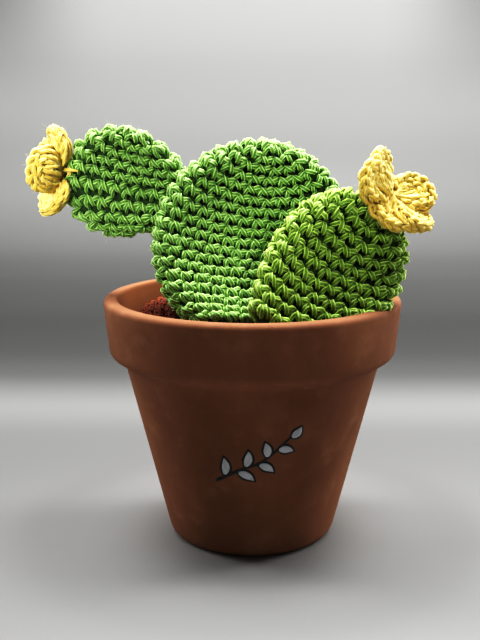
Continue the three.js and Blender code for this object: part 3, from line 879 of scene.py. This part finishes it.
def above_soil(points):
    """Points that would sink into the soil cushion are set down on it."""
    lifted = points.copy()
    ground = SoilCloth.height(points[..., 0], points[..., 1]) - CORE_DEPTH
    lifted[..., 2] = np.maximum(points[..., 2], ground)
    return lifted


def stands_out_of_soil(points):
    return points[..., 2] > SoilCloth.height(points[..., 0], points[..., 1]) - SINK


def depth_in(cloth, points):
    """How far points lie inside a pad, by the nearest place on its skin; negative is outside."""
    around, down = np.meshgrid(np.linspace(0, 1, 120, endpoint=False), np.linspace(0.02, 1, 90))
    skin, normals = cloth.place(around.ravel(), down.ravel())
    gaps = np.linalg.norm(points[:, None] - skin[None], axis=-1)
    near = gaps.argmin(1)
    depth = -((points - skin[near]) * normals[near]).sum(-1)
    return depth, normals[near]


def make_pad(name, seed, tree, wools, keep, clear):
    """A pad: its stitches, its stuffed inside and its loose hairs."""
    yarn, core, fibre = wools
    cloth = (SidewaysPadCloth if PADS[name].get("sideways") else PadCloth)(PADS[name])
    strands = Strands(seed)
    crochet(cloth, strands, keep)
    radius = YARN_RADIUS * cloth.pad["stitch"][0] / YARN_STITCH
    stitches = spun(name + "_stitches", strands, tree, yarn, seed, radius)
    inside = pad_core(name + "_inside", cloth, core, clear)
    hairs = loose_fibres(name + "_hairs", strands, seed + 1, PAD_HAIRS, fibre)
    return joined("crocheted_" + name, [stitches, inside, hairs]), cloth


def petal_place(petal, x, y, lift):
    """A petal's places: x along and y across its oval from -1 to 1, lift in mm off its middle."""
    angle, length, width, slope, bowl, roll, reach = petal
    angle, slope, roll = math.radians(angle), math.radians(slope), math.radians(roll)

    def middle(x, y):
        out = length / 2 * (1 + x)
        rise = bowl * (x * x + y * y) - bowl
        across = width / 2 * y * (1 + PETAL_WIDENING * x)
        rise, across = turned(rise, across, roll)
        out, rise = turned(out, rise, -slope)
        return np.stack([reach + out, across, rise + bowl], -1)

    step = 0.02
    lengthwise = middle(x + step, y) - middle(x - step, y)
    crosswise = middle(x, y + step) - middle(x, y - step)
    normal = unit(np.cross(lengthwise, crosswise))
    out, across, height = np.moveaxis(middle(x, y) + normal * np.asarray(lift)[..., None], -1, 0)
    return np.stack([*turned(out, across, -angle), height], -1)


def bloom_placing(bloom, cloth):
    """From the bloom's own space to its place at the tip of its pad."""
    axis = unit(np.array(bloom["axis"], float))
    side = unit(np.cross(axis, np.array(bloom["zero"], float)))
    zero = np.cross(side, axis)
    angle = math.radians(bloom["place"])
    tip, _ = cloth.front(cloth.half_width * math.sin(angle), math.cos(angle))
    centre = tip + axis * (BLOOM_BACK + STITCH_RISE - bloom["seat"])
    basis = np.stack([zero, side, axis])
    return lambda points: np.asarray(points) @ basis + centre


class PetalSkin:
    """The puffed double cloth of a petal, by angle round its oval and by length from front to back."""

    def __init__(self, petal, placing):
        self.petal, self.placing = petal, placing
        self.radius = (petal[1] + petal[2]) / 4
        self.inset = 1 - PETAL_INSET / self.radius
        angles = np.linspace(0, math.pi, 181)
        steps = np.hypot(
            np.diff(np.sin(angles)) * self.radius, np.diff(np.cos(angles)) * PETAL_HALF_THICKNESS)
        self.angles = angles
        self.lengths = np.concatenate([[0], np.cumsum(steps)])
        self.edge = self.lengths[-1] / 2

    def place(self, around, length, lift):
        """Angle round the oval, millimetres from the middle of the front, millimetres above the cloth."""
        angle = np.interp(length, self.lengths, self.angles)
        reach = np.sin(angle) * (self.inset + lift / self.radius)
        height = (PETAL_HALF_THICKNESS + lift) * np.cos(angle)
        return self.placing(petal_place(self.petal, reach * np.cos(around), reach * np.sin(around), height))


# One side of a chain stitch: along the chain in stitches, across it and above the cloth in mm, thickness
CHAIN_RUN = [
    (-0.45, 0.0, -1.4, 0.8), (-0.12, 0.25, -0.1, 1.0), (0.22, 0.8, 0.55, 1.15), (0.6, 1.4, 0.55, 1.15),
    (0.88, 1.75, -0.3, 0.95), (1.02, 1.95, -1.4, 0.8),
]
CHAIN_STEPS = 11
CHAIN_STITCH = 4.8
# Chains on a petal: mm from its edge towards its front, how far they go to each side of its tip in
# degrees, their width and their lift
PETAL_CHAINS = [(0, 155, 1.0, 0.15), (3.9, 148, 0.95, 0.1), (-3.9, 148, 0.95, 0.1), (7.2, 120, 0.8, 0.25)]
# Posts on a petal: how many, on its front (1) or back (-1), how far they fan out and where they end
PETAL_POSTS = [(5, 1, 1.25, 0.3), (10, -1, 1.8, 0.42)]
POST_PLACES = 10
SEWING_PLACES = 12
# The button in the middle of a bloom: rings of stitches by radius, height, count and lean, and one stitch
# as its share of the way to the next, its steps out and up, and thickness
HEART_RINGS = [(2.7, 1.2, 6, 1.0), (3.9, -1.2, 8, -0.5), (2.2, -2.6, 5, 1.0)]
HEART_RUN = [
    (-0.75, -1.0, -0.7, 0.85), (-0.35, 0.0, 0.4, 1.05), (0.1, 0.5, 0.6, 1.1), (0.5, 0.0, 0.3, 1.0),
    (0.8, -0.9, -0.6, 0.85),
]
HEART_PLACES = 10


def petal_strands(petal, strands, placing):
    """The yarn of one petal: chains of stitches round its edge and its faces, and posts from its foot."""
    random = strands.random
    skin = PetalSkin(petal, placing)
    run = smooth_line(CHAIN_RUN, CHAIN_STEPS)

    def chain(length, spread, width, lift):
        reach = math.sin(np.interp(length, skin.lengths, skin.angles)) * skin.radius
        count = max(3, round(2 * spread * reach / CHAIN_STITCH))
        for k in range(count):
            for side in (1, -1):
                step = 2 * spread / count
                around = -spread + (k + run[:, 0] + random.normal(0, 0.06)) * step
                across = side * run[:, 1] * width + random.normal(0, 0.15)
                height = lift + run[:, 2] + random.normal(0, 0.15)
                points = skin.place(around, length + across, height)
                strands.add(points[None], run[:, 3] * random.normal(1, 0.05))

    def posts(count, face, fan, finish):
        for k in range(count):
            lean = fan * (k - (count - 1) / 2) / count
            line = smooth_line([
                (-0.98, 0.12 * lean, -0.1, 0.9), (-0.62, 0.75 * lean, 0.7, 1.1), (-0.25, lean, 0.95, 1.12),
                (finish - 0.25, 0.95 * lean, 0.75, 1.05), (finish, 0.8 * lean, -0.5, 0.85),
            ], POST_PLACES)
            height = PETAL_HALF_THICKNESS * np.sqrt(np.maximum(0, 1 - line[:, 0] ** 2))
            aside = line[:, 1] + random.normal(0, 0.04) + random.normal(0, 0.12) * line[:, 0]
            lift = line[:, 2] + height + random.normal(0, 0.3)
            points = petal_place(petal, line[:, 0], aside, face * lift)
            strands.add(placing(points)[None], line[:, 3] * random.normal(1, 0.09))

    for inward, spread, width, lift in PETAL_CHAINS:
        chain(skin.edge - inward, math.radians(spread), width, lift)
    for row in PETAL_POSTS:
        posts(*row)


def petal_core(name, petal, placing, material):
    """The middle of a petal, under the yarn of its two faces."""
    around = np.arange(PETAL_CORE_SIDES) / PETAL_CORE_SIDES * TURN
    skin = PetalSkin(petal, placing)

    def ring(share, angles):
        return skin.place(angles, share * 2 * skin.edge, np.full(len(angles), PETAL_CORE_LIFT))

    rings = [ring(share, around) for share in np.linspace(0.06, 0.94, 15)]
    front, back = (ring(share, np.zeros(1))[0] for share in (0, 1))
    return ringed_mesh(name, front, rings, back, material)


def sewing_end(strands, cloth, places):
    """A tail of the sewing yarn on a pad, through places across and along its front and above it in mm."""
    line = []
    for across, along, lift, thickness in places:
        point, normal = cloth.front(across, along)
        line.append([*(point + normal * lift), thickness])
    line = smooth_line(line, SEWING_PLACES)
    strands.add(line[None, :, :3], line[:, 3])


def heart_strands(strands, placing):
    """The button in the middle of a bloom: rings of stitches round a small hole."""
    run = smooth_line(HEART_RUN, HEART_PLACES)
    for radius, height, count, lean in HEART_RINGS:
        for k in range(count):
            angle = (k + run[:, 0]) / count * TURN
            out = radius + run[:, 1] * 0.8
            points = round_axis(out, angle, height + lean * run[:, 2])
            strands.add(placing(points)[None], run[:, 3])


def make_bloom(name, seed, tree, wools, cloth):
    """A bloom: the yarn and the middles of its petals, its button, its sewing and its loose hairs."""
    yarn, core, fibre = wools
    bloom = BLOOMS[name]
    placing = bloom_placing(bloom, cloth)
    strands = Strands(seed)
    for petal in bloom["petals"]:
        petal_strands(petal, strands, placing)
    heart_strands(strands, placing)
    sewing_end(strands, cloth, bloom["sewing"])
    pieces = [spun(name + "_stitches", strands, tree, yarn, seed, BLOOM_YARN_RADIUS)]
    pieces.append(loose_fibres(name + "_hairs", strands, seed + 1, BLOOM_HAIRS, fibre))
    for k, petal in enumerate(bloom["petals"]):
        pieces.append(petal_core(f"{name}_petal_{k}", petal, placing, core))
    return joined("crocheted_" + name, pieces)


def make_camera():
    """The photograph's view: a little to the left of the pot's axis, tilted down, 640 pixels tall."""
    focal_pixels, image_height, tilt = 1014, 640, math.radians(11.76)
    camera = bpy.data.cameras.new("camera")
    camera.sensor_fit = "AUTO"
    camera.sensor_width = 36
    camera.lens = camera.sensor_width * focal_pixels / image_height
    camera.clip_start = 0.02
    holder = linked("camera", camera)
    holder.location = (POT_AXIS_X - 5.38 * MM, -440 * MM, 188.3 * MM)
    holder.rotation_euler = (math.pi / 2 - tilt, 0, 0)
    bpy.context.scene.camera = holder


# The paper's grey by metres back along the floor and then up, with painted shade in the bend behind the pot
# and painted light up the backdrop
PAPER_PAINTED_SHADING = [
    (-0.1, 0.187), (-0.04, 0.187), (0.03, 0.150), (0.13, 0.133), (0.196, 0.160), (0.256, 0.095),
    (0.31, 0.070), (0.37, 0.060), (0.5, 0.068), (0.685, 0.109), (0.8, 0.150), (0.94, 0.236), (1.08, 0.292),
    (1.2, 0.377), (1.3, 0.445),
]


def stage_material():
    """Paper with painted light and shade: it dims in the bend behind the pot and grows lighter again up the
    backdrop, with a painted pool of light round the pot's foot, painted light falling off from right to left
    near the front, and painted shade in the backdrop's upper outer corners.
    """
    nodes = Surface("backdrop_paper")
    across, back, up = nodes.split(nodes.place)
    along = nodes.maths("ADD", back, up)
    near, far = PAPER_PAINTED_SHADING[0][0], PAPER_PAINTED_SHADING[-1][0]
    share = nodes.maths("DIVIDE", nodes.maths("SUBTRACT", along, near), far - near)
    ramp = nodes.add("ShaderNodeValToRGB", {"Fac": share})
    ramp.color_ramp.interpolation = "CARDINAL"
    stops = ramp.color_ramp.elements
    for at, _ in PAPER_PAINTED_SHADING[1:-1]:
        stops.new((at - near) / (far - near))
    for stop, (at, grey) in zip(stops, PAPER_PAINTED_SHADING):
        stop.position = (at - near) / (far - near)
        stop.color = (grey, grey, 0.985 * grey, 1)
    x = nodes.maths("SUBTRACT", across, POT_AXIS_X)
    # A painted pool of light round the pot's foot that lightens its cast shadow
    painted_light_round_pot = nodes.stretch(nodes.length(nodes.vector(x, along)), 0.035, 0.105, 1.7, 1.0)
    # Painted light falling off from right to left, most near the front
    sideways = nodes.maths("MULTIPLY", x, nodes.stretch(along, -0.05, 0.3, 0.7, 0.2))
    # Painted shade in the upper outer corners of the backdrop
    painted_corner_shade = nodes.maths(
        "MULTIPLY", nodes.stretch(nodes.maths("ABSOLUTE", x), 0.17, 0.36),
        nodes.stretch(along, 1.12, 1.32, 0.05, 0.5))
    evened = nodes.maths("SUBTRACT", nodes.maths("ADD", sideways, 1.0), painted_corner_shade)
    colour = nodes.scaled(ramp.outputs["Color"], nodes.maths("MULTIPLY", painted_light_round_pot, evened))
    return nodes.made_of({"Base Color": colour, "Roughness": 0.9, "Specular IOR Level": 0.1})


def make_stage():
    """A sheet of backdrop paper: floor, a wide bend and an upright back."""
    width, front, back, bend, top, bend_steps = 4.0, -2.5, 0.95, 0.25, 2.2, 16
    line = [(front, 0.0), (back - bend, 0.0)]
    for k in range(1, bend_steps + 1):
        angle = k / bend_steps * math.pi / 2
        line.append((back - bend + bend * math.sin(angle), bend - bend * math.cos(angle)))
    line.append((back, top))
    points = [(x, y, z) for y, z in line for x in (-width / 2, width / 2)]
    faces = [(2 * i, 2 * i + 1, 2 * i + 3, 2 * i + 2) for i in range(len(line) - 1)]
    sheet = plain_mesh("backdrop", points, faces, stage_material())


# Soft light from above and a little behind, with strips at both sides and hardly any from the front:
# each lamp's place, what it aims at, its size and its power
LAMPS = {
    "softbox_above": ((0.0, 0.12, 0.95), (0, 0, 0.1), (0.9, 0.45), 27.5),
    "strip_left": ((-0.9, 0.34, 0.45), (0, 0, 0.08), (0.3, 0.9), 9.5),
    "strip_right": ((0.9, 0.34, 0.45), (0, 0, 0.08), (0.3, 0.9), 10.5),
    "fill_front": ((-0.1, -0.6, 1.0), (0, 0, 0.12), (0.7, 0.4), 0.2),
    "kick_low": ((0.0, -0.3, 0.02), (0, 0, 0.03), (0.5, 0.03), 0.1),
}
# Lamps behind tubes, which light the pads and leave the pot in its own shade: place, aim, cone in degrees,
# power and the softness of the cone's edge
SNOOTS = {
    "snoot_left": ((-0.42, -0.66, 0.46), (-0.02, 0, 0.188), 11.5, 18, 0.25),
    "snoot_right": ((0.30, -0.70, 0.46), (0.022, -0.02, 0.150), 7.2, 16, 0.25),
    "snoot_left_flower": ((-0.22, -0.6, 0.24), (-0.08, 0, 0.158), 6, 25, 0.6),
}
ROOM_COLOUR = (0.95, 0.97, 1.0, 1)
ROOM_LIGHT = 0.05
# Points of the print's contrast curve
PRINT_CURVE = [(0.03, 0.009), (0.08, 0.032), (0.2, 0.135), (0.4, 0.39), (0.7, 0.76)]


def add_lamp(name, kind, place, aim, power, **settings):
    """A lamp that the camera doesn't see, turned so that it shines, down its own -Z, at its aim."""
    light = bpy.data.lights.new(name, kind)
    light.energy = power
    for key, value in settings.items():
        setattr(light, key, value)
    holder = linked(name, light)
    holder.visible_camera = False
    holder.location = place
    x, y, z = np.array(aim, float) - np.array(place)
    holder.rotation_euler = (math.atan2(math.hypot(x, y), -z), 0, math.atan2(-x, y))


def make_lights():
    for name, (place, aim, (size, size_y), power) in LAMPS.items():
        add_lamp(name, "AREA", place, aim, power, shape="RECTANGLE", size=size, size_y=size_y)
    for name, (place, aim, cone, power, blend) in SNOOTS.items():
        add_lamp(name, "SPOT", place, aim, power, spot_size=math.radians(cone), spot_blend=blend,
                 shadow_soft_size=0.035)
    world = bpy.data.worlds.new("room")
    world.use_nodes = True
    background = world.node_tree.nodes["Background"]
    background.inputs["Color"].default_value = ROOM_COLOUR
    background.inputs["Strength"].default_value = ROOM_LIGHT
    bpy.context.scene.world = world


def develop_like_a_print():
    """The contrast of a finished photograph: dim parts sink and bright parts hold."""
    settings = bpy.context.scene.view_settings
    settings.view_transform = "Standard"
    settings.use_curve_mapping = True
    curve = settings.curve_mapping.curves[3]
    for place, value in PRINT_CURVE:
        curve.points.new(place, value)
    settings.curve_mapping.update()


develop_like_a_print()
make_camera()
make_stage()
make_lights()

# Colours of yarn: a painted highlight on its crowns, its middle, painted shade in its grooves, the inside of
# its cloth as painted shade in the holes (near black for the greens, orange for the yellow), its hairs
green = wool("green", (0.66, 0.92, 0.36), (0.42, 0.70, 0.18), (0.10, 0.23, 0.035),
             inside=(0.03, 0.08, 0.012), hair=(0.42, 0.70, 0.22))
lime = wool("lime", (0.72, 0.92, 0.26), (0.48, 0.71, 0.11), (0.12, 0.24, 0.02),
            inside=(0.035, 0.085, 0.008), hair=(0.50, 0.72, 0.16))
yellow = wool("yellow", (0.90, 0.88, 0.42), (0.80, 0.74, 0.22), (0.70, 0.45, 0.06),
              inside=(0.85, 0.50, 0.06), hair=(0.80, 0.74, 0.40))
# The soil's yarn, with the same painted highlight and groove shade, and its inside darker still as painted
# shade
brown = yarn_material(
    "soil_yarn", (0.36, 0.075, 0.018), (0.16, 0.028, 0.006), (0.035, 0.007, 0.002), lustre=0.25)
brown_core = painted_shade_core_material("soil_inside", (0.07, 0.02, 0.008))
charcoal_paint = paint_material("charcoal_paint", (0.018, 0.018, 0.02))
pale_paint = paint_material("pale_paint", (0.40, 0.41, 0.42))
clay = terracotta_material()
yarn_tree = plied_yarn_tree()

pot = make_pot(clay)
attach(pot, "root")
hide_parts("pot")

sprig = painted_sprig(charcoal_paint, pale_paint)
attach(sprig, "root")

soil_cloth = SoilCloth()
soil_strands = Strands(seed=11)
crochet(soil_cloth, soil_strands)
soil_stitches = spun("soil_stitches", soil_strands, yarn_tree, brown, seed=11)
soil = joined("crocheted_soil", [soil_stitches, soil_core(soil_cloth, brown_core)])
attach(soil, "root")
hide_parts("soil_cushion")

large_pad, large_cloth = make_pad("large_pad", 21, yarn_tree, green, stands_out_of_soil, above_soil)


def clear_of_large_pad(points):
    """Points inside the large pad are brought out to the inside of its stitches."""
    depth, normals = depth_in(large_cloth, points)
    return points + normals * np.maximum(0, depth - CORE_DEPTH)[:, None]


def outside_large_pad(points):
    return depth_in(large_cloth, points)[0] < SEAM_DEPTH


right_pad, right_cloth = make_pad("right_pad", 31, yarn_tree, lime, stands_out_of_soil, above_soil)
left_pad, left_cloth = make_pad("left_pad", 41, yarn_tree, green, outside_large_pad, clear_of_large_pad)
for pad, node, slot in (
    (large_pad, "large_pad", "green_yarn"), (right_pad, "right_pad", "lime_yarn"),
    (left_pad, "left_pad", "green_yarn"),
):
    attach(pad, "root")
    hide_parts(node)

for node, seed, cloth in (("left_flower", 51, left_cloth), ("right_flower", 61, right_cloth)):
    bloom = make_bloom(node, seed, yarn_tree, yellow, cloth)
    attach(bloom, "root")
    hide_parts(node)
